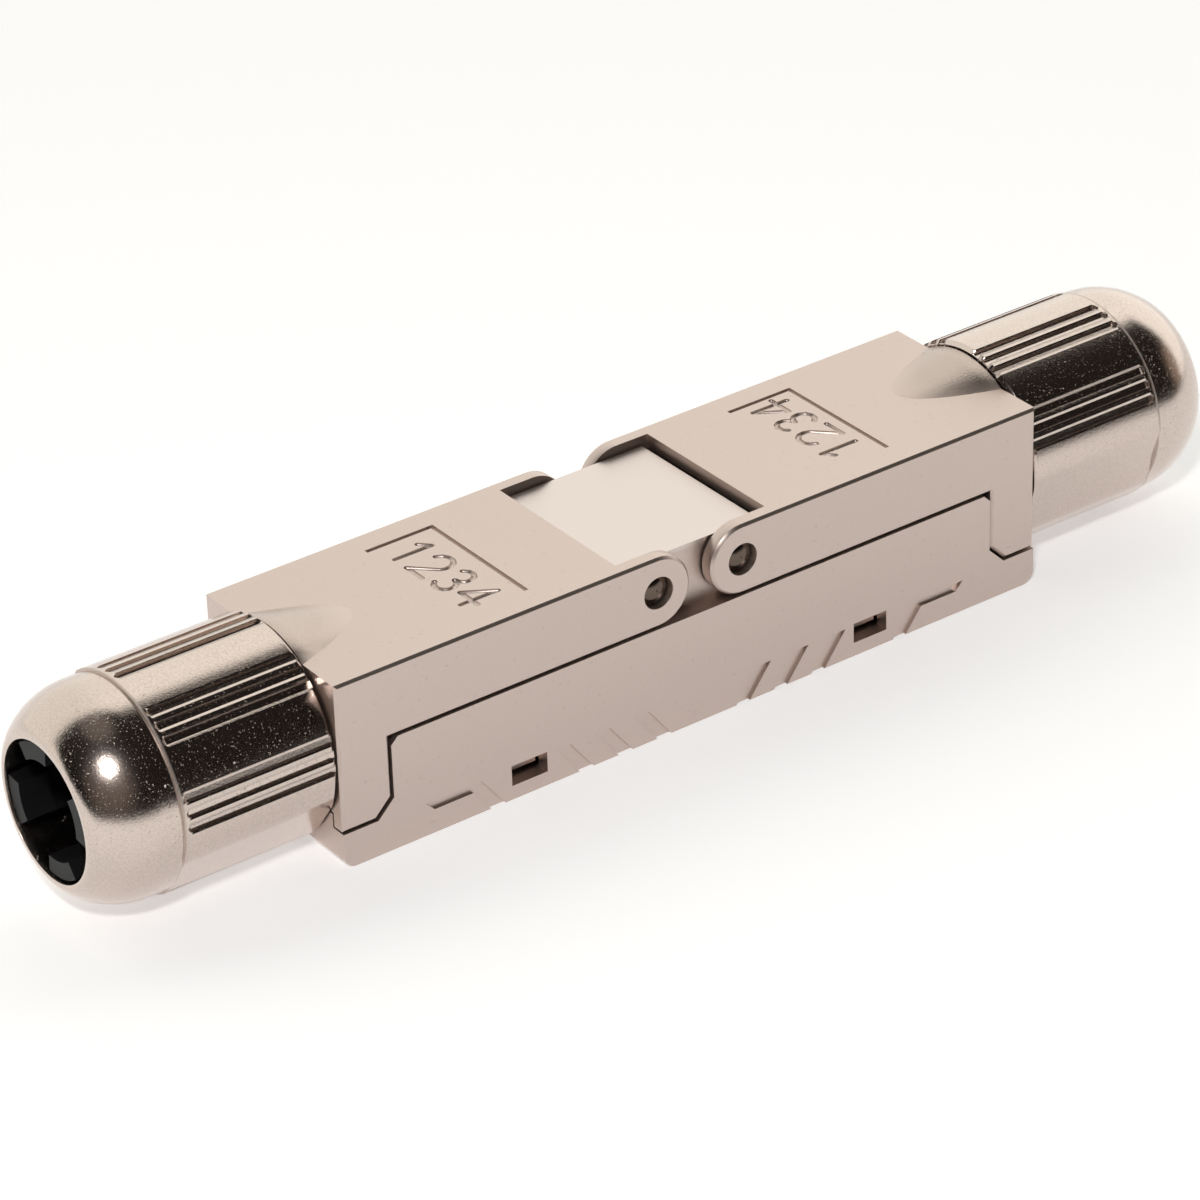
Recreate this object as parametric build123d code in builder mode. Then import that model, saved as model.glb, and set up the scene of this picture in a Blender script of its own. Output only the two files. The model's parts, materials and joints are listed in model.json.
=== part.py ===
from build123d import *

import os
from math import asin, cos, degrees, radians, sin

# Shielded punch-down cable joiner, closed, 122.5 mm from nut to nut.
#
# A die-cast base holds a circuit board with two insulation-displacement blocks. Two cast lids
# swing up on pins in the bridge at the middle of the base. The end wall of each lid carries the
# cable neck, a claw ring that grips the cable and the cap nut that closes the claws.
#
# Millimetres. X runs along the joiner, -Y is the front, +Z is up, and the origin is at the centre
# of the flat bottom of the base. Angles about the cable axis start at the front and rise to 90 at
# the top.

# Housing
body_length = 76.8
body_width = 20.0
body_height = 18.2
wall = 1.4
floor_thickness = 1.4
end_wall = 1.5
part_gap = 0.2
edge_break = 0.25
base_end_round = 1.2
rim_chamfer = 0.7

# Hinge: a bridge across the base, with two pins through it and the ears of the lids
hinge_x = 4.63
ear_radius = 3.45
pin_radius = 1.5
pin_seat_clearance = 0.02
pin_running_clearance = 0.06
pin_crown = 0.5
pin_recess = 0.3
bridge_half_length = 7.6
bridge_side_gap = 0.25
bridge_step = 0.85
bridge_passage_height = 9.0
bridge_cheek = 1.3
lid_cutout_gap = 0.6

# Leg at the end of each lid, outside the end tongue of the base
leg_width = 5.1
leg_bottom = 3.7
leg_chamfer = 1.7
tongue_height = 4.9

# Neck of each lid, and the fairing that rises to it out of the top plate
neck_wall = 1.4
neck_length = 9.0
fairing_drop = 0.5
fairing_length = 9.5

# Cap nut, a little wider than the body and clear of the surface that the body stands on
nut_overhang = 0.1
nut_ground_gap = 0.05
nut_wall = 1.65
nut_gap = 0.2
nut_sleeve_length = 15.2
nut_length = 22.65
nut_end_chamfer = 0.35
nut_step = 0.23
nut_bore_clearance = 0.15
nut_thread_length = 11.0
nut_mouth_inset = 3.6
nut_mouth_length = 0.9
nut_dome_start = 1.5
nut_dome_radius = 8.0
nut_dome_angle = 41.0
nut_rim_width = 0.4
nut_flat_depth = 0.5
left_flat_angle = 143.8
right_flat_angle = 164.7
groove_width = 0.7
groove_depth = 0.3
groove_pitch_angle = 8.0
grooves_in_group = 3
groove_group_angle = 45.0
groove_run_out = 0.35
groove_point = 0.25

# Claw ring: a keyed tail in the neck, a flange on its mouth and fingers to the mouth of the nut
claw_tail_clearance = 0.15
claw_wall = 0.85
claw_tail_length = 8.0
claw_flange_inset = 0.2
claw_flange_thickness = 1.4
claw_seat_gap = 0.2
claw_finger_count = 4
claw_finger_angle = 43.0
claw_first_angle = 16.0
claw_finger_thickness = 1.25
claw_finger_clearance = 0.3
claw_root_inset = 0.4
claw_pad_radius = 4.6
claw_pad_length = 2.9
claw_recess = 0.25
claw_key_width = 1.6
claw_key_height = 0.45
claw_key_clearance = 0.1

# Snap arms of the lids, and the windows in the base that they show through
window_near_x = 17.1
window_far_x = 20.9
window_height = 2.0
arm_thickness = 1.2
arm_side_gap = 0.2
arm_end_gap = 0.2
arm_floor_gap = 0.4

# Shallow pockets along the foot of both sides of the base
pocket_depth = 0.3
pocket_height = 3.2
flute_run = 2.45
flute_width = 1.55
flute_pitch = 4.27
flute_start_x = 3.62
flute_count = 3
step_start_x = 21.65
step_end_x = 29.9
step_height = 2.35

# Bracket lines engraved in the lids
bracket_depth = 0.25
bracket_line = 0.45
bracket_near_x = 16.6
bracket_far_x = 23.35
bracket_back_y = 7.1
bracket_front_y = -6.9

# Circuit board and its screws
board_length = 62.0
board_width = 13.6
board_thickness = 1.6
board_height = 1.8
boss_radius = 2.0
screw_margin = 2.4
screw_radius = 0.8
screw_length = 3.2
screw_head_radius = 1.5
screw_head_height = 0.9
screw_slot_width = 0.4
screw_slot_depth = 0.4
screw_clearance = 0.05

# Insulation-displacement blocks between the bridge and the screws, with two rows of contacts each
block_bridge_gap = 2.0
block_screw_gap = 1.5
block_width = 13.2
block_height = 8.8
block_trough_width = 4.6
block_trough_depth = 5.6
wire_slot_width = 0.9
wire_slot_depth = 4.6
tooth_chamfer = 0.4
contact_count = 4
contact_end_margin = 2.3
contact_row_y = 4.4
contact_width = 2.2
contact_thickness = 0.5
contact_drop = 0.5
contact_slit_width = 0.4
contact_slit_depth = 4.0
contact_tail_width = 0.8
contact_tail_length = 2.3
contact_clearance = 0.05

# Worked-out places
half_length = body_length / 2
half_width = body_width / 2
inner_half_width = half_width - wall
end_wall_inner_x = half_length - end_wall
hinge_z = body_height - ear_radius
skirt_bottom = hinge_z - ear_radius
parting_height = skirt_bottom - part_gap
bridge_top = body_height - bridge_step
lid_cutout_x = bridge_half_length + lid_cutout_gap
arm_half_width = inner_half_width - arm_side_gap
board_bottom = floor_thickness + board_height
board_top = board_bottom + board_thickness
screw_x = board_length / 2 - screw_margin
block_top = board_top + block_height
block_near_x = bridge_half_length + block_bridge_gap
block_length = screw_x - screw_head_radius - block_screw_gap - block_near_x
block_centre_x = block_near_x + block_length / 2
contact_pitch = (block_length - 2 * contact_end_margin) / (contact_count - 1)
contact_top = block_top - contact_drop
nut_radius = half_width + nut_overhang
nut_bore_radius = nut_radius - nut_wall
nut_mouth_radius = nut_radius - nut_mouth_inset
nut_end = nut_gap + nut_length
neck_axis_z = nut_radius + nut_ground_gap
neck_radius = nut_bore_radius - nut_bore_clearance
neck_bore_radius = neck_radius - neck_wall
fairing_end_radius = nut_radius - fairing_drop
claw_flange_start = neck_length + claw_seat_gap
claw_flange_end = claw_flange_start + claw_flange_thickness
claw_tip = nut_end - claw_recess
claw_tail_radius = neck_bore_radius - claw_tail_clearance
claw_bore_radius = claw_tail_radius - claw_wall
claw_flange_radius = neck_radius - claw_flange_inset
claw_root_radius = claw_flange_radius - claw_root_inset
claw_tip_radius = nut_mouth_radius - claw_finger_clearance
claw_key_radius = claw_tail_radius + claw_key_height
cable_axis = Axis((0, 0, neck_axis_z), (1, 0, 0))


def beyond_end(side, angle=90):
    """Plane through the cable axis: X is the distance beyond the end of the body, Y is the radius."""
    normal = (0, -side * sin(radians(angle)), -side * cos(radians(angle)))
    return Plane(origin=(side * half_length, 0, neck_axis_z), x_dir=(side, 0, 0), z_dir=normal)


def across_cable(x):
    """Plane across the cable axis: X points to the front, Y is up, and its normal points to -X."""
    return Plane(origin=(x, 0, neck_axis_z), x_dir=(0, -1, 0), z_dir=(-1, 0, 0))


def on_nut(side, angle):
    """Plane that touches the nut's sleeve at the angle: X is the distance beyond the end of the body."""
    outward = (0, -cos(radians(angle)), sin(radians(angle)))
    touch = (side * half_length, nut_radius * outward[1], neck_axis_z + nut_radius * outward[2])
    return Plane(origin=touch, x_dir=(side, 0, 0), z_dir=outward)


def slab(x_range, y_range, z_range, mode=Mode.ADD):
    """Box between pairs of limits, each pair in either order."""
    middle = [(low + high) / 2 for low, high in (x_range, y_range, z_range)]
    size = [abs(high - low) for low, high in (x_range, y_range, z_range)]
    with Locations(tuple(middle)):
        Box(*size, mode=mode)


def leg_outline(side, clearance, outer_x):
    """Corners of the lid's leg in side view, grown by a clearance on its inner and lower sides."""
    inner_x = half_length - leg_width - clearance
    low = leg_bottom - clearance
    return [
        (side * inner_x, low + leg_chamfer),
        (side * (inner_x + leg_chamfer), low),
        (side * outer_x, low),
        (side * outer_x, body_height),
        (side * inner_x, body_height),
    ]


def flute_outline(side, index):
    """Corners of one slanted flute."""
    foot = flute_start_x + index * flute_pitch
    return [
        (side * foot, 0),
        (side * (foot + flute_width), 0),
        (side * (foot + flute_width + flute_run), pocket_height),
        (side * (foot + flute_run), pocket_height),
    ]


def step_outline(side):
    """Corners of the stepped pocket near the end of the base."""
    drop = pocket_height - step_height
    run = flute_run * step_height / pocket_height
    return [
        (side * step_start_x, 0),
        (side * (step_start_x + flute_width), 0),
        (side * (step_start_x + flute_width + run), step_height),
        (side * (step_end_x - drop), step_height),
        (side * step_end_x, pocket_height),
        (side * (step_start_x + flute_run), pocket_height),
    ]


def contact_x(side, index):
    """X of one contact, counted outward from the hinge."""
    return side * (block_centre_x + (index - (contact_count - 1) / 2) * contact_pitch)


def contact_places(side):
    """X and Y of all contacts of one block."""
    return [(contact_x(side, index), row * contact_row_y) for row in (-1, 1) for index in range(contact_count)]


def finish(piece, label):
    """Label a piece and write its STEP file."""
    piece.label = label
    export_step(piece, f"parts/{label}.step")
    print(label, len(piece.solids()), round(piece.volume, 1))


os.makedirs("parts", exist_ok=True)

# Base: a channel with low ends, the hinge bridge, and the seats of the board
with BuildPart() as base_housing:
    with BuildSketch(Plane.XZ):
        with Locations((0, parting_height / 2)):
            Rectangle(body_length, parting_height)
        for side in (-1, 1):
            with BuildLine():
                Polyline(*leg_outline(side, part_gap, body_length), close=True)
            make_face(mode=Mode.SUBTRACT)
    extrude(amount=half_width, both=True)
    chamfer(base_housing.edges().filter_by(Axis.Y).group_by(Axis.Z)[-1], length=rim_chamfer)
    fillet(base_housing.edges().filter_by(Axis.Y).group_by(Axis.Z)[0], radius=base_end_round)
    slab(
        (-end_wall_inner_x, end_wall_inner_x),
        (-inner_half_width, inner_half_width),
        (floor_thickness, body_height),
        mode=Mode.SUBTRACT,
    )

    # End tongues between the legs of each lid, hollowed under the cable
    tongue_half_width = inner_half_width - part_gap
    for side in (-1, 1):
        slab(
            (side * end_wall_inner_x, side * half_length),
            (-tongue_half_width, tongue_half_width),
            (leg_bottom - leg_chamfer, tongue_height),
        )
    with BuildSketch(across_cable(-half_length)):
        Circle(neck_bore_radius + part_gap)
    extrude(amount=-end_wall, mode=Mode.SUBTRACT)
    with BuildSketch(across_cable(half_length)):
        Circle(neck_bore_radius + part_gap)
    extrude(amount=end_wall, mode=Mode.SUBTRACT)

    # Bridge: cheeks that grow out of the side walls, a deck that holds the pins, a passage below
    slab(
        (-bridge_half_length, bridge_half_length),
        (-inner_half_width, inner_half_width),
        (floor_thickness, parting_height),
    )
    slab(
        (-bridge_half_length, bridge_half_length),
        (bridge_side_gap - inner_half_width, inner_half_width - bridge_side_gap),
        (parting_height, bridge_top),
    )
    chamfer(base_housing.edges().filter_by(Axis.Y).group_by(Axis.Z)[-1], length=edge_break)
    slab(
        (-bridge_half_length, bridge_half_length),
        (bridge_cheek - inner_half_width, inner_half_width - bridge_cheek),
        (floor_thickness, floor_thickness + bridge_passage_height),
        mode=Mode.SUBTRACT,
    )
    with BuildSketch(Plane.XZ):
        with Locations((-hinge_x, hinge_z), (hinge_x, hinge_z)):
            Circle(pin_radius + pin_seat_clearance)
    extrude(amount=half_width, both=True, mode=Mode.SUBTRACT)

    # Bosses under the board, two of them drilled for its screws
    with BuildSketch(Plane.XY.offset(floor_thickness)):
        with Locations((-screw_x, 0), (0, 0), (screw_x, 0)):
            Circle(boss_radius)
    extrude(amount=board_height)
    with Locations((-screw_x, 0, board_bottom), (screw_x, 0, board_bottom)):
        Hole(radius=screw_radius + screw_clearance, depth=screw_length - board_thickness + screw_clearance)

    # Windows through both side walls
    for side in (-1, 1):
        slab(
            (side * window_near_x, side * window_far_x),
            (-body_width, body_width),
            (floor_thickness, floor_thickness + window_height),
            mode=Mode.SUBTRACT,
        )

    # Pockets in the foot of both sides
    for face_y in (-half_width, half_width):
        with BuildSketch(Plane.XZ.offset(-face_y)):
            for side in (-1, 1):
                for index in range(flute_count):
                    with BuildLine():
                        Polyline(*flute_outline(side, index), close=True)
                    make_face()
                with BuildLine():
                    Polyline(*step_outline(side), close=True)
                make_face()
        extrude(amount=pocket_depth, both=True, mode=Mode.SUBTRACT)

finish(base_housing.part, "base_housing")

# Hinge pins, one for each lid, with crowned ends that stay below the faces of the ears
for side, name in ((-1, "left"), (1, "right")):
    with BuildPart() as hinge_pin:
        pin_end = half_width - pin_recess
        crown_radius = (pin_radius**2 + pin_crown**2) / (2 * pin_crown)
        crown_angle = degrees(asin(pin_radius / crown_radius))
        with BuildSketch(Plane(origin=(side * hinge_x, 0, hinge_z), x_dir=(0, 1, 0), z_dir=(1, 0, 0))):
            with BuildLine():
                back_crown = CenterArc((pin_end - crown_radius, 0), crown_radius, 0, crown_angle)
                front_crown = CenterArc((crown_radius - pin_end, 0), crown_radius, 180, -crown_angle)
                Line(back_crown @ 1, front_crown @ 1)
                Line(back_crown @ 0, front_crown @ 0)
            make_face()
        revolve(axis=Axis((side * hinge_x, 0, hinge_z), (0, 1, 0)))
    finish(hinge_pin.part, f"{name}_hinge_pin")

# Lids: top plate, skirts with round ears, legs, end wall, fairing, neck and snap arms
for side, name, bracket_corner_x in ((-1, "left", bracket_near_x), (1, "right", bracket_far_x)):
    with BuildPart() as fairing:
        with BuildSketch(beyond_end(side)):
            with BuildLine():
                Polyline(
                    (-fairing_length, 0),
                    (-fairing_length, body_height - neck_axis_z - edge_break),
                    (0, fairing_end_radius),
                    (0, 0),
                    close=True,
                )
            make_face()
        revolve(axis=cable_axis)
        slab(
            (0, side * body_length),
            (-half_width, half_width),
            (body_height - wall, body_height + body_width),
            mode=Mode.INTERSECT,
        )

    with BuildPart() as lid:
        with BuildSketch(Plane.XZ):
            with Locations((side * (half_length + hinge_x) / 2, (skirt_bottom + body_height) / 2)):
                Rectangle(half_length - hinge_x, body_height - skirt_bottom)
            with Locations((side * hinge_x, hinge_z)):
                Circle(ear_radius)
            with BuildLine():
                Polyline(*leg_outline(side, 0, half_length), close=True)
            make_face()
        extrude(amount=half_width, both=True)
        side_faces = lid.faces().sort_by(Axis.Y)
        chamfer(side_faces[0].edges() + side_faces[-1].edges(), length=edge_break)

        # Hollow below the top plate, a notch round the bridge, and room for the base's tongue
        slab(
            (0, side * end_wall_inner_x),
            (-inner_half_width, inner_half_width),
            (0, body_height - wall),
            mode=Mode.SUBTRACT,
        )
        slab(
            (0, side * lid_cutout_x),
            (-inner_half_width, inner_half_width),
            (0, 2 * body_height),
            mode=Mode.SUBTRACT,
        )
        slab(
            (0, side * body_length),
            (-inner_half_width, inner_half_width),
            (0, tongue_height + part_gap),
            mode=Mode.SUBTRACT,
        )
        add(fairing.part)

        # Neck, standing clear of the base below the end wall
        with BuildSketch(across_cable(side * half_length)):
            Circle(neck_radius)
        extrude(amount=-side * neck_length)
        slab(
            (side * half_length, side * (half_length + part_gap)),
            (-half_width, half_width),
            (0, tongue_height + part_gap),
            mode=Mode.SUBTRACT,
        )
        with BuildSketch(across_cable(side * end_wall_inner_x)):
            Circle(neck_bore_radius)
            with Locations((0, neck_bore_radius)):
                key_way_height = 2 * (claw_key_radius - neck_bore_radius + claw_key_clearance)
                Rectangle(claw_key_width + 2 * claw_key_clearance, key_way_height)
        extrude(amount=-side * (end_wall + neck_length), mode=Mode.SUBTRACT)

        # Snap arms behind the windows of the base
        for face in (-1, 1):
            slab(
                (side * (window_near_x + arm_end_gap), side * (window_far_x - arm_end_gap)),
                (face * (arm_half_width - arm_thickness), face * arm_half_width),
                (floor_thickness + arm_floor_gap, body_height - wall / 2),
            )

        # Pin holes through the ears
        with BuildSketch(Plane.XZ):
            with Locations((side * hinge_x, hinge_z)):
                Circle(pin_radius + pin_running_clearance)
        extrude(amount=half_width, both=True, mode=Mode.SUBTRACT)

        # Engraved bracket round the number
        line_middle = (bracket_near_x + bracket_far_x) / 2
        with BuildSketch(Plane.XY.offset(body_height)):
            with Locations((side * line_middle, bracket_back_y)):
                Rectangle(bracket_far_x - bracket_near_x + bracket_line, bracket_line)
            with Locations((side * bracket_corner_x, (bracket_back_y + bracket_front_y) / 2)):
                Rectangle(bracket_line, bracket_back_y - bracket_front_y + bracket_line)
        extrude(amount=-bracket_depth, mode=Mode.SUBTRACT)
    finish(lid.part, f"{name}_lid")

# Claw rings
for side, name in ((-1, "left"), (1, "right")):
    with BuildPart() as claw_ring:
        with BuildSketch(beyond_end(side)):
            with BuildLine():
                Polyline(
                    (claw_flange_start - claw_tail_length, claw_bore_radius),
                    (claw_flange_start - claw_tail_length, claw_tail_radius),
                    (claw_flange_start, claw_tail_radius),
                    (claw_flange_start, claw_flange_radius),
                    (claw_flange_end, claw_flange_radius),
                    (claw_flange_end, claw_bore_radius),
                    close=True,
                )
            make_face()
        revolve(axis=cable_axis)
        with BuildSketch(across_cable(side * (half_length + claw_flange_start))):
            with Locations((0, claw_tail_radius)):
                Rectangle(claw_key_width, 2 * claw_key_height)
        extrude(amount=side * claw_tail_length)

        # Fingers, thin behind the pads that bite the cable
        for index in range(claw_finger_count):
            middle_angle = claw_first_angle + index * 360 / claw_finger_count
            pad_start = claw_tip - claw_pad_length
            with BuildSketch(beyond_end(side, middle_angle + claw_finger_angle / 2)):
                with BuildLine():
                    Polyline(
                        (claw_flange_end, claw_root_radius - claw_finger_thickness),
                        (claw_flange_end, claw_root_radius),
                        (claw_tip - nut_mouth_length, claw_tip_radius),
                        (claw_tip, claw_tip_radius),
                        (claw_tip, claw_pad_radius),
                        (pad_start, claw_pad_radius),
                        (pad_start, claw_tip_radius - claw_finger_thickness),
                        close=True,
                    )
                make_face()
            revolve(axis=cable_axis, revolution_arc=claw_finger_angle)
    finish(claw_ring.part, f"{name}_claw_ring")

# Cap nuts: a grooved sleeve with two flats, and a domed end
for side, name, flat_angle in ((-1, "left", left_flat_angle), (1, "right", right_flat_angle)):
    with BuildPart() as cap_nut:
        sleeve_end = nut_gap + nut_sleeve_length
        dome_base_radius = nut_radius - nut_step
        dome_start = sleeve_end + nut_dome_start
        dome_centre = (dome_start, dome_base_radius - nut_dome_radius)
        with BuildSketch(beyond_end(side, flat_angle)):
            with BuildLine():
                Polyline(
                    (nut_gap + nut_thread_length, nut_bore_radius),
                    (nut_gap, nut_bore_radius),
                    (nut_gap, nut_radius - nut_end_chamfer),
                    (nut_gap + nut_end_chamfer, nut_radius),
                    (sleeve_end, nut_radius),
                    (sleeve_end, dome_base_radius),
                    (dome_start, dome_base_radius),
                )
                dome = CenterArc(dome_centre, nut_dome_radius, 90, -nut_dome_angle)
                rim = TangentArc(
                    dome @ 1,
                    (nut_end, nut_mouth_radius + nut_rim_width),
                    tangent=dome % 1,
                )
                Polyline(
                    rim @ 1,
                    (nut_end, nut_mouth_radius),
                    (nut_end - nut_mouth_length, nut_mouth_radius),
                    (nut_gap + nut_thread_length, nut_bore_radius),
                )
            make_face()
        revolve(axis=cable_axis)

        # Two flats for a spanner
        with BuildSketch(across_cable(side * (half_length + nut_gap))):
            with PolarLocations(nut_radius, 2, start_angle=flat_angle):
                Rectangle(2 * nut_flat_depth, nut_radius)
        extrude(amount=-side * nut_sleeve_length, mode=Mode.SUBTRACT)

        # Grooves in groups of three on both sides between the flats, open at the lid
        middle_groove = (grooves_in_group - 1) / 2
        groove_angles = [
            flat_angle + half_turn + group * groove_group_angle + (index - middle_groove) * groove_pitch_angle
            for half_turn in (0, 180)
            for group in range(1, 4)
            for index in range(grooves_in_group)
        ]
        groove_end = sleeve_end - groove_run_out
        with BuildSketch(*[on_nut(side, angle) for angle in groove_angles]) as grooves:
            with Locations((groove_end / 2, 0)):
                Rectangle(groove_end, groove_width)
            chamfer(grooves.vertices().group_by(Axis.X)[-1], length=groove_point)
        extrude(amount=-groove_depth, mode=Mode.SUBTRACT)
    finish(cap_nut.part, f"{name}_cap_nut")

# Circuit board, with holes for the screws and the contact tails
with BuildPart() as circuit_board:
    with BuildSketch(Plane.XY.offset(board_bottom)):
        board_edge = Rectangle(board_length, board_width)
        chamfer(board_edge.vertices(), length=edge_break)
        with Locations((-screw_x, 0), (screw_x, 0)):
            Circle(screw_radius + screw_clearance, mode=Mode.SUBTRACT)
        with Locations(*contact_places(-1), *contact_places(1)):
            tail_hole_width = contact_tail_width + 2 * contact_clearance
            Rectangle(tail_hole_width, contact_thickness + 2 * contact_clearance, mode=Mode.SUBTRACT)
    extrude(amount=board_thickness)
finish(circuit_board.part, "circuit_board")

for side, name in ((-1, "left"), (1, "right")):
    # Slotted screw that holds the board
    with BuildPart() as board_screw:
        with BuildSketch(Plane.XY.offset(board_top)):
            with Locations((side * screw_x, 0)):
                Circle(screw_head_radius)
        extrude(amount=screw_head_height)
        chamfer(board_screw.edges().group_by(Axis.Z)[-1], length=edge_break)
        with BuildSketch(Plane.XY.offset(board_top)):
            with Locations((side * screw_x, 0)):
                Circle(screw_radius)
        extrude(amount=-screw_length)
        with BuildSketch(Plane.XY.offset(board_top + screw_head_height)):
            with Locations((side * screw_x, 0)):
                Rectangle(2 * screw_head_radius, screw_slot_width)
        extrude(amount=-screw_slot_depth, mode=Mode.SUBTRACT)
    finish(board_screw.part, f"{name}_board_screw")

    # Block: a trough for the wires between two rows of teeth, with a slot at each contact
    with BuildPart() as idc_block:
        with BuildSketch(Plane.YZ.offset(side * block_near_x)):
            with Locations((0, board_top + block_height / 2)):
                Rectangle(block_width, block_height)
            with Locations((0, block_top)):
                Rectangle(block_trough_width, 2 * block_trough_depth, mode=Mode.SUBTRACT)
        extrude(amount=side * block_length)
        with BuildSketch(Plane.XZ):
            with Locations(*[(contact_x(side, index), block_top) for index in range(contact_count)]):
                Rectangle(wire_slot_width, 2 * wire_slot_depth)
        extrude(amount=block_width, both=True, mode=Mode.SUBTRACT)
        chamfer(idc_block.edges().filter_by(Axis.Y).group_by(Axis.Z)[-1], length=tooth_chamfer)
        with BuildSketch(Plane.XY.offset(board_top)):
            with Locations(*contact_places(side)):
                pocket_width = contact_width + 2 * contact_clearance
                Rectangle(pocket_width, contact_thickness + 2 * contact_clearance)
        extrude(amount=block_height, mode=Mode.SUBTRACT)
    finish(idc_block.part, f"{name}_idc_block")

    # Contacts: forked blades whose tails pass through the board
    for number, (x, y) in enumerate(contact_places(side), start=1):
        with BuildPart() as contact:
            with BuildSketch(Plane.XZ.offset(-y)):
                with Locations((x, (board_top + contact_top) / 2)):
                    Rectangle(contact_width, contact_top - board_top)
                with Locations((x, board_top - contact_tail_length / 2)):
                    Rectangle(contact_tail_width, contact_tail_length)
                with Locations((x, contact_top)):
                    Rectangle(contact_slit_width, 2 * contact_slit_depth, mode=Mode.SUBTRACT)
            extrude(amount=contact_thickness / 2, both=True)
        finish(contact.part, f"{name}_contact_{number}")
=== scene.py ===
# %% [markdown]
# A shielded punch-down cable joiner, about 122 mm long. Two data cables meet in it: each one goes in
# through a domed cap nut, black claws grip its jacket, and its wires are pressed into slotted blocks
# inside the die-cast housing. The rigid pieces arrive from the CAD model as a fixed frame. What is
# left to do here is their finish, the rounding of their edges, the numbers engraved in the lids, the
# threads under the nuts, and the light that plated metal needs to look like metal.

import json
from math import cos, pi, radians, sin

import bmesh
import bpy
from mathutils import Matrix, Vector


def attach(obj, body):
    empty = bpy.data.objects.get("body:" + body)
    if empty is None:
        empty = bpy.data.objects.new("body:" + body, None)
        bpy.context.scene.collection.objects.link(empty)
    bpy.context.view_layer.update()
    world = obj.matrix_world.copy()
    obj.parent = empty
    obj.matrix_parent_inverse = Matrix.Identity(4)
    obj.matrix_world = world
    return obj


MM = 0.001

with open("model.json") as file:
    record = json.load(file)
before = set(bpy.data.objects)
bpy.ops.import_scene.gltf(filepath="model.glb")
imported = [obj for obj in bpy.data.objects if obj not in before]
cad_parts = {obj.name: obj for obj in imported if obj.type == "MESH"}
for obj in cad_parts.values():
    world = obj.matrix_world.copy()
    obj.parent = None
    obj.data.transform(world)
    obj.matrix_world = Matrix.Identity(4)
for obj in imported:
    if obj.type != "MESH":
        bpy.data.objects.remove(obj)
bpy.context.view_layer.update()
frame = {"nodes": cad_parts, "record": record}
nodes = frame["nodes"]

# %% [markdown]
# The photo was taken with a long lens from the front left, looking down at about thirty degrees. A
# camera could be placed by eye, but then few edges would fall where they should. This one's place was
# worked out from the straight edges of the housing, so each edge of the model falls on its edge in the
# photo. The small roll is the photographer's.

# %% Camera
CAMERA_PLACE = Vector((-228.668, -314.955, 237.787)) * MM
CAMERA_AZIMUTH = radians(35.527)
CAMERA_DROP = radians(30.574)
CAMERA_ROLL = radians(-1.886)
CAMERA_LENS = 151.54
SENSOR_WIDTH = 36.0
NEAREST_SEEN = 10 * MM

ahead = Vector((
    sin(CAMERA_AZIMUTH) * cos(CAMERA_DROP),
    cos(CAMERA_AZIMUTH) * cos(CAMERA_DROP),
    -sin(CAMERA_DROP),
))
level_right = Vector((cos(CAMERA_AZIMUTH), -sin(CAMERA_AZIMUTH), 0))
level_up = level_right.cross(ahead)
camera_right = level_right * cos(CAMERA_ROLL) + level_up * sin(CAMERA_ROLL)
camera_up = level_up * cos(CAMERA_ROLL) - level_right * sin(CAMERA_ROLL)

camera_data = bpy.data.cameras.new("camera")
camera_data.lens = CAMERA_LENS
camera_data.sensor_width = SENSOR_WIDTH
camera_data.clip_start = NEAREST_SEEN
camera = bpy.data.objects.new("camera", camera_data)
camera.matrix_world = (
    Matrix.Translation(CAMERA_PLACE)
    @ Matrix((camera_right, camera_up, -ahead)).transposed().to_4x4()
)
bpy.context.scene.collection.objects.link(camera)
bpy.context.scene.camera = camera
print("camera looks along", [round(v, 3) for v in ahead])

# %% [markdown]
# Blender shows a picture through a film-like view transform unless it is told otherwise. That would
# turn the white sheet grey, so the plain transform is chosen: a colour is shown as it is lit.

# %% View transform
scene = bpy.context.scene
scene.view_settings.view_transform = "Standard"
scene.view_settings.look = "None"
print("view transform", scene.view_settings.view_transform)

# %% [markdown]
# Materials and the light of the room are written as plain arithmetic. Their nodes could be wired one by
# one, but a formula is easier to read and to change. One small class stands for a socket, so that
# 0.3 + 0.1 * grain adds the Math nodes by itself.

# %% A wire between nodes
class Wire:
    """A number that varies over a surface, or with a direction: one output socket, with arithmetic."""

    def __init__(self, nodes, socket):
        self.nodes = nodes
        self.socket = socket

    def _math(self, operation, first, second):
        node = self.nodes.node("ShaderNodeMath", {"operation": operation}, {0: first, 1: second})
        return Wire(self.nodes, node.outputs[0])

    def __add__(self, other):
        return self._math("ADD", self, other)

    def __radd__(self, other):
        return self._math("ADD", other, self)

    def __sub__(self, other):
        return self._math("SUBTRACT", self, other)

    def __rsub__(self, other):
        return self._math("SUBTRACT", other, self)

    def __mul__(self, other):
        return self._math("MULTIPLY", self, other)

    def __rmul__(self, other):
        return self._math("MULTIPLY", other, self)

    def __mod__(self, other):
        return self._math("FLOORED_MODULO", self, other)

    def __abs__(self):
        return self._math("ABSOLUTE", self, 0.0)

    def least(self, other):
        """The smaller of two numbers."""
        return self._math("MINIMUM", self, other)

    def angle(self, across):
        """Angle in radians of a point that is this high and this far across."""
        return self._math("ARCTAN2", self, across)


print(Wire.__doc__)

# %% [markdown]
# Any other node comes from one method that takes the node's type, its settings and what goes into its
# sockets. The masks and mixes that both the room and the materials use stand beside it.

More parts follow.
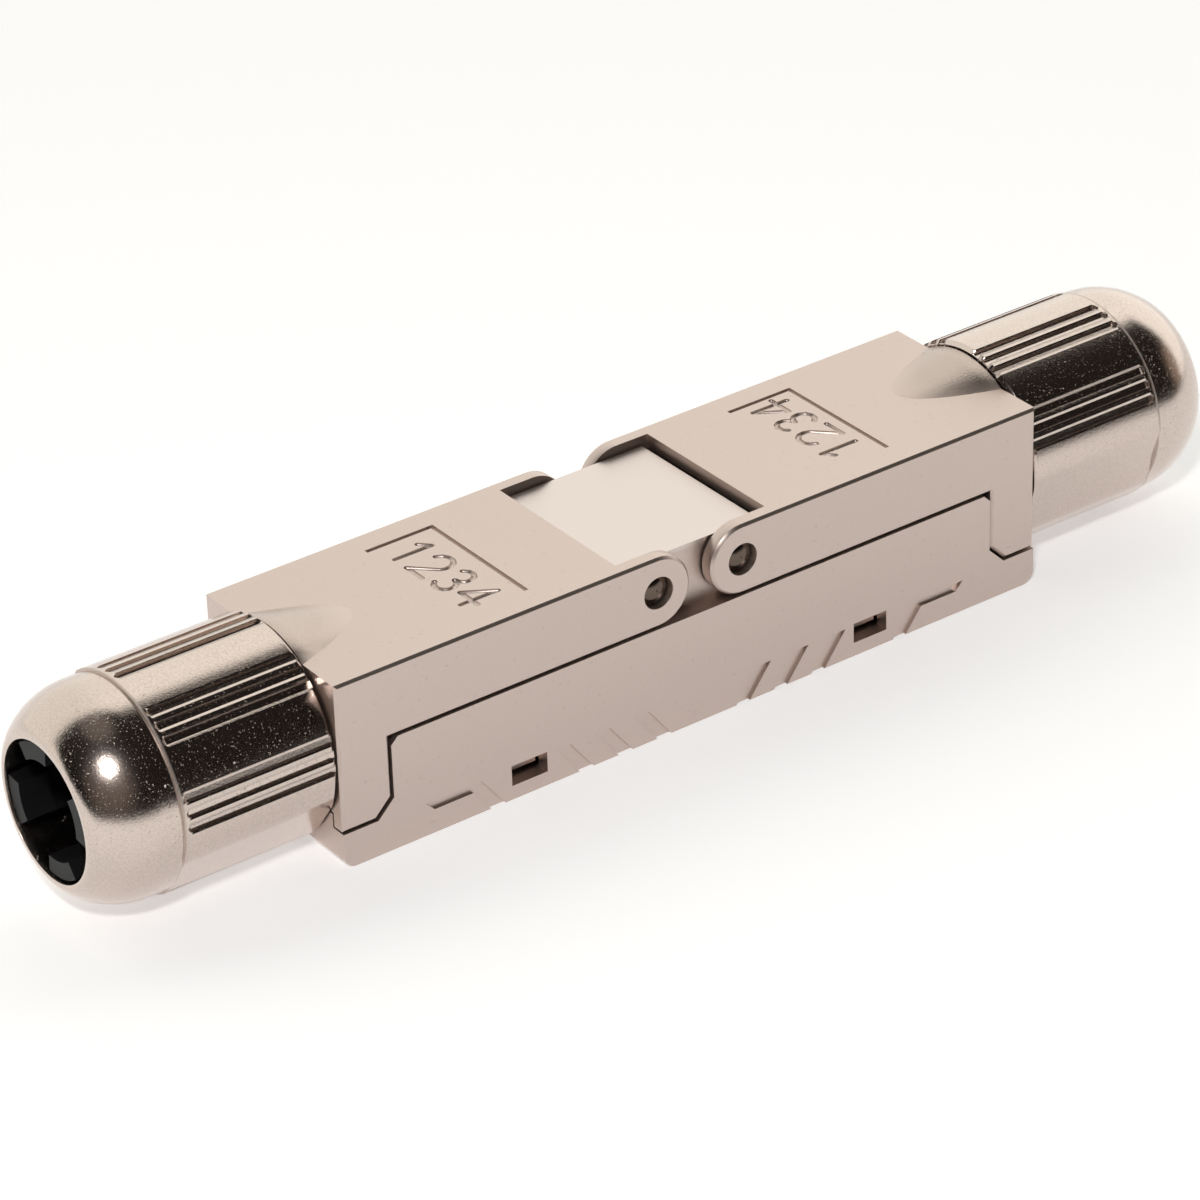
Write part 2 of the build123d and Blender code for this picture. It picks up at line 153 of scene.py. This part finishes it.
# %% Nodes of the room or of a material
class Nodes:
    """The nodes of a material or of the world."""

    def __init__(self, tree):
        self.tree = tree
        self.tree.nodes.clear()

    def node(self, kind, settings=None, inputs=None):
        """Adds a node: its settings first, then its inputs."""
        node = self.tree.nodes.new(kind)
        for key, value in (settings or {}).items():
            setattr(node, key, value)
        for key, value in (inputs or {}).items():
            self.feed(node.inputs[key], value)
        return node

    def feed(self, socket, value):
        """Links a wire or a socket to an input, or sets the input's own value."""
        if isinstance(value, Wire):
            self.tree.links.new(value.socket, socket)
        elif isinstance(value, bpy.types.NodeSocket):
            self.tree.links.new(value, socket)
        else:
            socket.default_value = value

    def mask(self, value, low, high):
        """0 where the value is below low, 1 where it is above high."""
        inputs = {"Value": value, "From Min": low, "From Max": high}
        return Wire(self, self.node("ShaderNodeMapRange", {"clamp": True}, inputs).outputs[0])

    def blend(self, share, first, second):
        """Mix of two colours."""
        inputs = {"Factor": share, 6: first, 7: second}
        return self.node("ShaderNodeMix", {"data_type": "RGBA"}, inputs).outputs[2]

    def seen_by_camera(self):
        """1 for what the camera sees straight, 0 for what it sees in a mirror."""
        return Wire(self, self.node("ShaderNodeLightPath").outputs["Is Camera Ray"])


print(Nodes.__doc__)

# %% [markdown]
# Plated metal shows nothing but its surroundings. The bands in the nuts tell what stood round the
# joiner: a large warm panel above and behind it, which makes the pale tops, and a dark room in front of
# it, which makes the black bands. The room could be built of walls, but a reflection needs none: the
# world's colour may depend on the direction alone. A dot product with a tilted vector tells which side
# of a plane a direction lies on. On one side is the dark of the room, with three faint glows, and on
# the other the panel, a little brighter to the right than to the left. The camera itself sees a plain
# pale background from every side.

# %% Room
ROOM_DARK = (0.011, 0.009, 0.008, 1)
PANEL_WARM = (1.0, 0.99, 0.93, 1)
SEEN_ROOM = (0.95, 0.95, 0.95, 1)
TOWARDS_PANEL = (0.35, 1.0, -0.45)
PANEL_EDGE = -0.06
PANEL_EDGE_WIDTH = 0.05
PANEL_STRENGTH = 1.24
PANEL_FALL = 0.12
PANEL_FALL_WIDTH = 0.35
GLOWS = (
    {"towards": (-0.515, -0.721, 0.463), "tint": (0.12, 0.10, 0.085, 1), "rim": 0.82, "core": 0.97},
    {"towards": (0.930, -0.310, 0.200), "tint": (0.26, 0.20, 0.16, 1), "rim": 0.93, "core": 0.98},
    {"towards": (-0.100, 0.100, 0.990), "tint": (0.15, 0.135, 0.12, 1), "rim": 0.94, "core": 0.985},
)

world = bpy.data.worlds.new("room")
scene.world = world
world.use_nodes = True
room = Nodes(world.node_tree)
direction = room.node("ShaderNodeTexCoord").outputs["Generated"]


def towards(vector):
    """How far a direction points along a vector: 1 straight along it, 0 across it."""
    node = room.node("ShaderNodeVectorMath", {"operation": "DOT_PRODUCT"}, {0: direction, 1: vector})
    return Wire(room, node.outputs["Value"])


tone = ROOM_DARK
for glow in GLOWS:
    tone = room.blend(room.mask(towards(glow["towards"]), glow["rim"], glow["core"]), tone, glow["tint"])
on_panel = room.mask(towards(TOWARDS_PANEL), PANEL_EDGE, PANEL_EDGE + PANEL_EDGE_WIDTH)
tone = room.blend(on_panel, tone, PANEL_WARM)
to_the_right = room.mask(towards(level_right), -PANEL_FALL_WIDTH, PANEL_FALL_WIDTH)
strength = PANEL_STRENGTH * (1 - PANEL_FALL + 2 * PANEL_FALL * to_the_right)
mirrored = room.node("ShaderNodeBackground", {}, {"Color": tone, "Strength": strength})
seen = room.node("ShaderNodeBackground", {}, {"Color": SEEN_ROOM})
by_ray = {0: room.seen_by_camera(), 1: mirrored.outputs[0], 2: seen.outputs[0]}
either = room.node("ShaderNodeMixShader", {}, by_ray)
room.node("ShaderNodeOutputWorld", {}, {"Surface": either.outputs[0]})
print("world nodes", len(room.tree.nodes))

# %% [markdown]
# The hot spot on each dome is a small lamp at the front left. It could be part of the world's colour as
# well, but a lamp also throws the soft shadow behind the joiner. It is small, so the spot is sharp.

# %% Lamp
LAMP_PLACE = Vector((-270, -310, 440)) * MM
LAMP_WIDTH = 50 * MM
LAMP_POWER = 1.2

lamp_data = bpy.data.lights.new("lamp_front_left", "AREA")
lamp_data.shape = "SQUARE"
lamp_data.size = LAMP_WIDTH
lamp_data.energy = LAMP_POWER
lamp = bpy.data.objects.new("lamp_front_left", lamp_data)
lamp.location = LAMP_PLACE
lamp.rotation_mode = "QUATERNION"
lamp.rotation_quaternion = (-LAMP_PLACE).to_track_quat("-Z", "Y")
scene.collection.objects.link(lamp)
print("lamp", round(LAMP_PLACE.length, 3), "m from the joiner")

# %% [markdown]
# A material is nodes with one Principled surface at their end. Its patterns are measured in metres on
# the joiner itself, by Object coordinates, so that they stay where they are when a lid swings up.

# %% A finish
SOFT_END = 0.2 * MM


class Finish(Nodes):
    """A material with one Principled surface."""

    def __init__(self, name):
        self.material = bpy.data.materials.new(name)
        self.material.use_nodes = True
        super().__init__(self.material.node_tree)
        self.surface = self.node("ShaderNodeBsdfPrincipled")
        self.output = self.node("ShaderNodeOutputMaterial", {}, {"Surface": self.surface.outputs[0]})

    def place(self):
        """Where a point of the surface is on the joiner, in metres."""
        return self.node("ShaderNodeTexCoord").outputs["Object"]

    def coordinates(self):
        """The three coordinates of a point of the surface, in metres."""
        split = self.node("ShaderNodeSeparateXYZ", {}, {0: self.place()})
        return [Wire(self, socket) for socket in split.outputs]

    def noise(self, size, detail=2.0, roughness=0.5):
        """Cloudy pattern whose patches are about the given size across, from 0 to 1."""
        inputs = {"Vector": self.place(), "Scale": 1 / size, "Detail": detail, "Roughness": roughness}
        return Wire(self, self.node("ShaderNodeTexNoise", {}, inputs).outputs[0])

    def inside(self, value, low, high):
        """1 where the value is between low and high, 0 elsewhere, with soft ends."""
        return self.mask(value, low, low + SOFT_END) * (1 - self.mask(value, high - SOFT_END, high))

    def bump(self, height, distance, strength=1.0, under=None):
        """Normal for a height pattern, with the height of its peaks in metres."""
        inputs = {"Height": height, "Distance": distance, "Strength": strength}
        if under is not None:
            inputs["Normal"] = under
        return self.node("ShaderNodeBump", {}, inputs).outputs[0]

    def set(self, **values):
        """Feeds the surface's own sockets, such as Base_Color or Roughness."""
        for key, value in values.items():
            self.feed(self.surface.inputs[key.replace("_", " ")], value)
        return self.material


print(Finish.__doc__)

# %% [markdown]
# The joiner stands on a large white sheet. A grid of one face is enough for it. A little light of its
# own keeps it white to the rim of the picture, where a lit sheet would turn grey. In the mirror of the
# nuts the sheet ends a hand's width in front, and that dark rim is what makes the black bands end so
# sharply. The camera sees it white all over, so that the floor is pale from every side.

# %% Floor
FLOOR_SIZE = 4.0
FLOOR_WHITE = (0.95, 0.95, 0.95, 1)
SHEET_FRONT_Y = -120 * MM
SHEET_FADE = 90 * MM
SHEET_ROUGHNESS = 0.9
SHEET_GLOW = 0.44

sheet = Finish("white_sheet")
on_sheet = sheet.mask(sheet.coordinates()[1], SHEET_FRONT_Y - SHEET_FADE, SHEET_FRONT_Y)
on_sheet = on_sheet + sheet.seen_by_camera() * (1 - on_sheet)
sheet_tone = sheet.blend(on_sheet, ROOM_DARK, FLOOR_WHITE)
sheet.set(
    Base_Color=sheet_tone,
    Roughness=SHEET_ROUGHNESS,
    Emission_Color=sheet_tone,
    Emission_Strength=SHEET_GLOW,
)
floor_mesh = bpy.data.meshes.new("floor")
floor_shape = bmesh.new()
bmesh.ops.create_grid(floor_shape, x_segments=1, y_segments=1, size=FLOOR_SIZE / 2)
floor_shape.to_mesh(floor_mesh)
floor_shape.free()
floor = bpy.data.objects.new("floor", floor_mesh)
floor.data.materials.append(sheet.material)
scene.collection.objects.link(floor)
print("floor", round(floor.dimensions.x, 2), "m wide")

# %% [markdown]
# Hands and tools have rubbed the top of the bridge paler and smoother than the lids. The patch could be
# a piece of its own with its own finish, but it has no edge on the real bridge. A box mask in the
# joiner's own coordinates picks it out, with soft ends.

# %% Rubbed bridge
RUBBED_HALF_LENGTH = 7.7 * MM
RUBBED_HALF_WIDTH = 8.5 * MM
RUBBED_BOTTOM = 16.9 * MM
RUBBED_TOP = 17.8 * MM


def rubbed_bridge(finish):
    """1 on the top of the bridge, 0 elsewhere."""
    x, y, z = finish.coordinates()
    return (
        finish.inside(x, -RUBBED_HALF_LENGTH, RUBBED_HALF_LENGTH)
        * finish.inside(y, -RUBBED_HALF_WIDTH, RUBBED_HALF_WIDTH)
        * finish.inside(z, RUBBED_BOTTOM, RUBBED_TOP)
    )


print("rubbed patch", round(2000 * RUBBED_HALF_LENGTH, 1), "by", round(2000 * RUBBED_HALF_WIDTH, 1), "mm")

# %% [markdown]
# Along the upper edges of the lids runs a thin dark line: the rounded edge mirrors the dark room. The
# rounding below does that by itself, but it is finer than a point of the picture, so a dark tint, a
# painted reflection of the room, and a smoother surface help it.

# %% Upper edges of the lids
EDGE_INNER_Y = 9.80 * MM
EDGE_OUTER_Y = 10.2 * MM
EDGE_BOTTOM = 18.0 * MM
EDGE_TOP = 18.4 * MM


def upper_edge(finish):
    """1 on the long upper edges of the lids, 0 elsewhere."""
    y, z = finish.coordinates()[1:]
    return finish.inside(abs(y), EDGE_INNER_Y, EDGE_OUTER_Y) * finish.inside(z, EDGE_BOTTOM, EDGE_TOP)


print("edge line ends", round(1000 * EDGE_OUTER_Y, 1), "mm from the middle")

# %% [markdown]
# The housing is a zinc casting, blasted and then plated with nickel. Blasting leaves a fine dimpled
# skin that spreads each reflection, and nickel gives it a warm tint. The dimples could be modelled, but
# there are thousands to a square centimetre, so one noise makes the grain and one the few darker pits.
# The cones that rise to the nuts are grainier and glossier, and tinted darker: a painted reflection of
# the dark room in front of them. They stand above the flat lids, so their height alone picks them out.

# %% Satin nickel
SATIN_TINT = (0.620, 0.520, 0.470, 1)
PIT_TINT = (0.50, 0.41, 0.37, 1)
EDGE_PAINTED_REFLECTION = (0.08, 0.062, 0.05, 1)
CONE_PAINTED_REFLECTION = (0.42, 0.35, 0.31, 1)
RUBBED_TINT = (0.69, 0.61, 0.575, 1)
SATIN_GRAIN = 0.16 * MM
SATIN_DEPTH = 0.02 * MM
SATIN_ROUGHNESS = 0.36
PIT_SPACING = 0.45 * MM
PITS_FROM = 0.66
PITS_FULL = 0.74
CONE_LOW = 18.25 * MM
CONE_HIGH = 18.8 * MM


def satin_nickel():
    finish = Finish("satin_nickel")
    grain = finish.noise(SATIN_GRAIN, detail=3.0, roughness=0.6)
    pits = finish.mask(finish.noise(PIT_SPACING), PITS_FROM, PITS_FULL)
    rubbed = rubbed_bridge(finish)
    edge = upper_edge(finish)
    cone = finish.mask(finish.coordinates()[2], CONE_LOW, CONE_HIGH)
    tint = finish.blend(0.5 * pits, SATIN_TINT, PIT_TINT)
    # Painted reflection: the upper edges of the lids are tinted dark, like the dark room they mirror.
    tint = finish.blend(0.85 * edge, tint, EDGE_PAINTED_REFLECTION)
    # Painted reflection: the cones are tinted darker, like the dark room they mirror.
    tint = finish.blend(0.6 * cone, tint, CONE_PAINTED_REFLECTION)
    return finish.set(
        Base_Color=finish.blend(rubbed, tint, RUBBED_TINT),
        Metallic=1.0,
        Roughness=SATIN_ROUGHNESS + 0.10 * grain - 0.06 * rubbed - 0.28 * edge - 0.13 * cone,
        Normal=finish.bump(grain * (1 + 1.5 * cone) - 0.4 * pits, SATIN_DEPTH, strength=0.35),
    )


satin_casting = satin_nickel()
print(satin_casting.name, len(satin_casting.node_tree.nodes), "nodes")

# %% [markdown]
# The lips of the nuts' grooves are worn round, so each shows a bright line. The grooves themselves are
# in the CAD model, and a round that fine would cost many faces, so the lips are only shading. The
# grooves come in threes between the two flats of the nut, so one angle round the cable, folded a few
# times, tells how far the next groove is.

# %% Worn lips of the grooves
CABLE_HEIGHT = 10.15 * MM
NUT_RADIUS = 10.1 * MM
FLAT_ANGLE = {"left": radians(143.8), "right": radians(164.7)}
GROUP_ANGLE = radians(45)
GROOVE_ANGLE = radians(8)
GROOVE_LIP = 0.33 * MM
LIP_WIDTH = 0.24 * MM


def worn_lips(finish, side, on_sleeve):
    """Height of a nut's surface beside its grooves: 0 at a lip, 1 away from it."""
    y, z = finish.coordinates()[1:]
    round_nut = ((z - CABLE_HEIGHT).angle(-1 * y) - FLAT_ANGLE[side]) % pi
    to_group = abs(round_nut - pi / 2).least(abs(abs(round_nut - pi / 2) - GROUP_ANGLE))
    to_groove = NUT_RADIUS * to_group.least(abs(to_group - GROOVE_ANGLE))
    return 1 - on_sleeve * (1 - finish.mask(to_groove, GROOVE_LIP, GROOVE_LIP + LIP_WIDTH))


print("lips", round(1000 * LIP_WIDTH, 2), "mm wide")

# %% [markdown]
# The cap nuts get a brighter plating over a finer skin, so that they mirror the room in long bands with
# sharp ends, and sparkle in small specks where a grain tips towards the light. The domes sparkle more
# than the sleeves, which hands polish when they turn the nut. The small ledge between the two isn't
# polished at all, and shows as a pale ring.

# %% Bright nickel
BRIGHT_TINT = (0.66, 0.565, 0.51, 1)
GRAIN_TINT = (0.58, 0.49, 0.44, 1)
BRIGHT_GRAIN = 0.20 * MM
BRIGHT_DEPTH = 0.022 * MM
BRIGHT_ROUGHNESS = 0.13
LEDGE_ROUGHNESS = 0.38
LIP_HEIGHT = 0.12 * MM
SPARK_SPACING = 0.16 * MM
SPARKS_FROM = 0.69
SPARKS_FULL = 0.76
SPARKS_POLISHED_OFF = {"left": 0.010, "right": 0.028}
SLEEVE_FROM = 38.4 * MM
SLEEVE_TO = 53.3 * MM
LEDGE_FROM = 53.5 * MM
LEDGE_TO = 53.95 * MM


def bright_nickel(side):
    finish = Finish(f"{side}_bright_nickel")
    along = abs(finish.coordinates()[0])
    on_sleeve = finish.inside(along, SLEEVE_FROM, SLEEVE_TO)
    ledge = finish.inside(along, LEDGE_FROM, LEDGE_TO)
    lips = finish.bump(worn_lips(finish, side, on_sleeve), LIP_HEIGHT)
    grain = finish.noise(BRIGHT_GRAIN, detail=3.0, roughness=0.65)
    specks = finish.noise(SPARK_SPACING, detail=1.0) - SPARKS_POLISHED_OFF[side] * on_sleeve
    sparks = finish.mask(specks, SPARKS_FROM, SPARKS_FULL)
    return finish.set(
        Base_Color=finish.blend(finish.mask(grain, 0.35, 0.65), GRAIN_TINT, BRIGHT_TINT),
        Metallic=1.0,
        Roughness=BRIGHT_ROUGHNESS + 0.10 * grain + LEDGE_ROUGHNESS * ledge,
        Normal=finish.bump(grain + 3.0 * sparks, BRIGHT_DEPTH, strength=0.45, under=lips),
    )


bright_nuts = {side: bright_nickel(side) for side in ("left", "right")}
print([material.name for material in bright_nuts.values()])

# %% [markdown]
# Two kinds of steel are left. The screws of the board are plain. The hinge pins are glossy and tinted
# nearly black where they sit in the ears, which is painted shade: it stands for the shade in their deep
# holes. Their crowned ends mirror the sheet. One function makes both, because only the tint and the gloss
# differ.

# %% Steel
STEEL_SPECKS = 0.3 * MM
STEEL_DEPTH = 0.008 * MM


def steel(name, tint, roughness):
    finish = Finish(name)
    specks = finish.noise(STEEL_SPECKS)
    return finish.set(
        Base_Color=tint,
        Metallic=1.0,
        Roughness=roughness + 0.12 * specks,
        Normal=finish.bump(specks, STEEL_DEPTH, strength=0.3),
    )


plain_steel = steel("plain_steel", (0.66, 0.63, 0.60, 1), 0.26)
# Painted shade: the hinge pins' dark tint stands for the shade in their holes in the ears.
painted_shade_steel = steel("painted_shade_steel", (0.13, 0.10, 0.08, 1), 0.14)
print(plain_steel.name, painted_shade_steel.name)

# %% [markdown]
# The claws are matt black mouldings deep in the mouth of the nut, where almost nothing shines. Their
# plastic is given less of a mirror than most, because only their faint facets show in the photo.

# %% Claws
CLAW_TINT = (0.008, 0.008, 0.009, 1)
CLAW_SPECKS = 0.12 * MM
CLAW_DEPTH = 0.01 * MM
CLAW_SHINE = 0.2
CLAW_ROUGHNESS = 0.42


def black_claw():
    finish = Finish("black_claw")
    specks = finish.noise(CLAW_SPECKS, detail=3.0)
    return finish.set(
        Base_Color=CLAW_TINT,
        Specular_IOR_Level=CLAW_SHINE,
        Roughness=CLAW_ROUGHNESS + 0.14 * specks,
        Normal=finish.bump(specks, CLAW_DEPTH, strength=0.4),
    )


claw_plastic = black_claw()
print(claw_plastic.name)

# %% [markdown]
# The board, the punch-down blocks and the contacts show when a lid is open. The board has a thin clear
# coat over its weave, the blocks are an off-white moulding with a fine grain, and the contacts are
# tinned, so they are bright but uneven. All three are one cloudy pattern between two near tints.

# %% Board, blocks and contacts
BOARD_WEAVE = 0.5 * MM
BLOCK_GRAIN = 0.15 * MM
BLOCK_DEPTH = 0.008 * MM
TIN_GRAIN = 0.4 * MM
BOARD_COAT = 0.4


def board_laminate():
    finish = Finish("board_laminate")
    weave = finish.noise(BOARD_WEAVE)
    tint = finish.blend(finish.mask(weave, 0.4, 0.6), (0.010, 0.075, 0.035, 1), (0.014, 0.10, 0.045, 1))
    return finish.set(Base_Color=tint, Roughness=0.3 + 0.1 * weave, Coat_Weight=BOARD_COAT)


def block_plastic():
    finish = Finish("block_plastic")
    grain = finish.noise(BLOCK_GRAIN)
    tint = finish.blend(finish.mask(grain, 0.3, 0.7), (0.70, 0.68, 0.63, 1), (0.76, 0.74, 0.69, 1))
    return finish.set(
        Base_Color=tint,
        Roughness=0.45 + 0.1 * grain,
        Normal=finish.bump(grain, BLOCK_DEPTH, strength=0.3),
    )


def tinned_contact():
    finish = Finish("tinned_contact")
    grain = finish.noise(TIN_GRAIN)
    tint = finish.blend(finish.mask(grain, 0.3, 0.7), (0.80, 0.76, 0.66, 1), (0.86, 0.82, 0.74, 1))
    return finish.set(Base_Color=tint, Metallic=1.0, Roughness=0.22 + 0.12 * grain)


inner_finishes = {
    "board_laminate": board_laminate(),
    "block_plastic": block_plastic(),
    "contact_metal": tinned_contact(),
}
print(list(inner_finishes))

# %% [markdown]
# Each CAD piece gets the finish of its material slot, and the pins and nuts get their own. A cast edge
# is never razor sharp: it is rounded by a tenth of a millimetre, and that thin round catches the light
# as a bright line. It could be faked in the material, but a bevel modifier gives a true edge from every
# side. The CAD mesh is loose triangles, so it is welded first. The nuts' normals are then evened by
# the size of the faces, so that their thin triangles don't show as streaks.

# %% Finishes on the CAD pieces
finish_of_slot = {
    "satin_casting": satin_casting,
    "pin_steel": plain_steel,
    "claw_plastic": claw_plastic,
    **inner_finishes,
}
finish_of_piece = {
    "left_hinge_pin": painted_shade_steel,
    "right_hinge_pin": painted_shade_steel,
    "left_cap_nut": bright_nuts["left"],
    "right_cap_nut": bright_nuts["right"],
}
ROUNDED_SLOTS = ("satin_casting", "nut_plating")
EDGE_ROUND = 0.10 * MM
EDGE_SEGMENTS = 2
WELD_DISTANCE = 0.002 * MM
SHARP_ANGLE = radians(28)


def round_edges(piece):
    """Welds a CAD piece and rounds its sharp edges."""
    weld = piece.modifiers.new("weld", "WELD")
    weld.merge_threshold = WELD_DISTANCE
    bevel = piece.modifiers.new("edge_round", "BEVEL")
    bevel.width = EDGE_ROUND
    bevel.segments = EDGE_SEGMENTS
    bevel.limit_method = "ANGLE"
    bevel.angle_limit = SHARP_ANGLE


for subpart in frame["record"]["subparts"]:
    piece = nodes[subpart["node"]]
    slot = subpart["material_slot"]
    piece.data.materials.clear()
    piece.data.materials.append(finish_of_piece.get(subpart["node"]) or finish_of_slot[slot])
    if slot in ROUNDED_SLOTS:
        round_edges(piece)
    if slot == "nut_plating":
        even = piece.modifiers.new("even_shading", "WEIGHTED_NORMAL")
        even.mode = "FACE_AREA"
print("finishes on", len(nodes), "pieces")

# %% [markdown]
# Plain numbers for the four wire pairs are stamped in each lid. They could be a font's letters, cut
# straight down, but a stamped stroke has a round bottom. So each number is a path of a few points in a
# box one high, with its bows as arcs.

# %% Shapes of the numbers
ARC_STEPS = 7


def arc(centre, radius, start, end):
    """Points on an arc, from one angle to another in degrees."""
    angles = [radians(start + (end - start) * step / ARC_STEPS) for step in range(ARC_STEPS + 1)]
    return [(centre[0] + radius * cos(angle), centre[1] + radius * sin(angle)) for angle in angles]


DIGITS = [
    [(0.12, 0.78), (0.36, 1.0), (0.36, 0.0)],
    [*arc((0.3, 0.7), 0.3, 165, -35), (0.0, 0.0), (0.6, 0.0)],
    [*arc((0.3, 0.76), 0.24, 150, -90), *arc((0.3, 0.26), 0.26, 90, -150)],
    [(0.45, 0.0), (0.45, 1.0), (0.0, 0.3), (0.66, 0.3)],
]
print("points per number", [len(path) for path in DIGITS])

# %% [markdown]
# The tool that cuts one straight stroke is a capsule: two small balls and the hull round them. A
# cylinder with two half balls would do as well, but the hull needs no joining.

# %% One stroke
STROKE_RADIUS = 0.28 * MM


def capsule(start, end):
    """The hull of two balls, as a mesh."""
    shape = bmesh.new()
    for centre in (start, end):
        place = Matrix.Translation(centre)
        bmesh.ops.create_icosphere(shape, subdivisions=2, radius=STROKE_RADIUS, matrix=place)
    bmesh.ops.delete(shape, geom=[*shape.edges, *shape.faces], context="EDGES_FACES")
    hull = bmesh.ops.convex_hull(shape, input=shape.verts)
    bmesh.ops.delete(shape, geom=hull["geom_interior"], context="VERTS")
    mesh = bpy.data.meshes.new("capsule")
    shape.to_mesh(mesh)
    shape.free()
    return mesh


print("stroke", round(2000 * STROKE_RADIUS, 2), "mm wide")

# %% [markdown]
# The strokes of a lid's four numbers are one tool. It rides on the lid out of sight, and a boolean
# modifier takes it out of the lid. Cutting the mesh once for all would do too, but a CAD piece's own
# mesh is never changed. On the left lid the numbers are read from the front, on the right lid from the
# back.

# %% Numbers in the lids
LID_TOP = 18.2 * MM
STROKE_DEPTH = 0.28 * MM
DIGIT_HEIGHT = 3.9 * MM
DIGIT_PITCH = 3.2 * MM
DIGIT_MIDDLE = 0.3
FIRST_DIGIT = 4.6 * MM
LEFT_BASELINE = -22.4 * MM
RIGHT_BASELINE = 21.9 * MM
SPLIT_ANGLE = radians(30)


def stroke_points(path, index, baseline, sign):
    """Places of a number's points on a lid, on the middle line of its strokes."""
    points = []
    for across, up in path:
        x = baseline + sign * up * DIGIT_HEIGHT
        y = sign * (FIRST_DIGIT - index * DIGIT_PITCH - (across - DIGIT_MIDDLE) * DIGIT_HEIGHT)
        points.append(Vector((x, y, LID_TOP - STROKE_DEPTH + STROKE_RADIUS)))
    return points


def number_tool(side, baseline, sign):
    """Makes the tool of one lid, out of sight."""
    shape = bmesh.new()
    for index, path in enumerate(DIGITS):
        points = stroke_points(path, index, baseline, sign)
        for start, end in zip(points, points[1:]):
            if (end - start).length > STROKE_RADIUS / 10:
                shape.from_mesh(capsule(start, end))
    bmesh.ops.recalc_face_normals(shape, faces=shape.faces)
    for face in shape.faces:
        face.smooth = True
    mesh = bpy.data.meshes.new(f"{side}_number_tool")
    shape.to_mesh(mesh)
    shape.free()
    tool = bpy.data.objects.new(f"{side}_number_tool", mesh)
    scene.collection.objects.link(tool)
    tool.hide_render = True
    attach(tool, f"{side}_lid")
    return tool


def cut_numbers(side, tool):
    """Takes the tool out of its lid, and keeps the edges of the strokes sharp."""
    lid = nodes[f"{side}_lid"]
    cut = lid.modifiers.new("numbers", "BOOLEAN")
    cut.operation = "DIFFERENCE"
    cut.solver = "EXACT"
    cut.use_self = True
    cut.object = tool
    split = lid.modifiers.new("sharp_edges", "EDGE_SPLIT")
    split.split_angle = SPLIT_ANGLE


for side, baseline, sign in (("left", LEFT_BASELINE, 1), ("right", RIGHT_BASELINE, -1)):
    tool = number_tool(side, baseline, sign)
    cut_numbers(side, tool)
    print(tool.name, len(tool.data.polygons), "faces")

# %% [markdown]
# Under each nut the neck carries a thread. It shows only when the nut is screwed off a few turns. It
# could be a row of plain rings, but a thread has a start and a slope. So one small profile is spun
# round the neck while it moves along, and both its ends are closed. It is kept as low as the gap
# between neck and nut, so that the nut still turns freely over it.

# %% Neck threads
THREAD_PITCH = 1.5 * MM
THREAD_ROOT = 8.27 * MM
THREAD_CREST = 8.41 * MM
THREAD_START = 39.2 * MM
THREAD_LENGTH = 7.4 * MM
ROOT_WIDTH = 0.95 * MM
CREST_WIDTH = 0.35 * MM
STEPS_PER_TURN = 48


def thread_shape(sign):
    """A low right-hand thread along the neck, to the left for -1 and to the right for 1."""
    shape = bmesh.new()
    profile = (
        (-ROOT_WIDTH / 2, THREAD_ROOT),
        (-CREST_WIDTH / 2, THREAD_CREST),
        (CREST_WIDTH / 2, THREAD_CREST),
        (ROOT_WIDTH / 2, THREAD_ROOT),
    )
    corners = [
        shape.verts.new((sign * THREAD_START + along, 0, CABLE_HEIGHT + radius))
        for along, radius in profile
    ]
    face = shape.faces.new(corners)
    steps = round(THREAD_LENGTH / THREAD_PITCH * STEPS_PER_TURN)
    bmesh.ops.spin(
        shape,
        geom=[*corners, *face.edges, face],
        cent=(0, 0, CABLE_HEIGHT),
        axis=(1, 0, 0),
        dvec=(sign * THREAD_PITCH / STEPS_PER_TURN, 0, 0),
        angle=sign * 2 * pi * steps / STEPS_PER_TURN,
        steps=steps,
    )
    bmesh.ops.recalc_face_normals(shape, faces=shape.faces)
    return shape


def neck_thread(side, sign):
    """Puts the thread on the neck of one lid."""
    shape = thread_shape(sign)
    open_edges = sum(not edge.is_manifold for edge in shape.edges)
    mesh = bpy.data.meshes.new(f"{side}_neck_thread")
    shape.to_mesh(mesh)
    shape.free()
    thread = bpy.data.objects.new(f"{side}_neck_thread", mesh)
    thread.data.materials.append(satin_casting)
    scene.collection.objects.link(thread)
    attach(thread, f"{side}_lid")
    print(thread.name, len(mesh.polygons), "faces", open_edges, "open edges")


neck_thread("left", -1)
neck_thread("right", 1)

# %% [markdown] The box round the dressed joiner has to be the box of the CAD model, within the
# rounding of the edges.
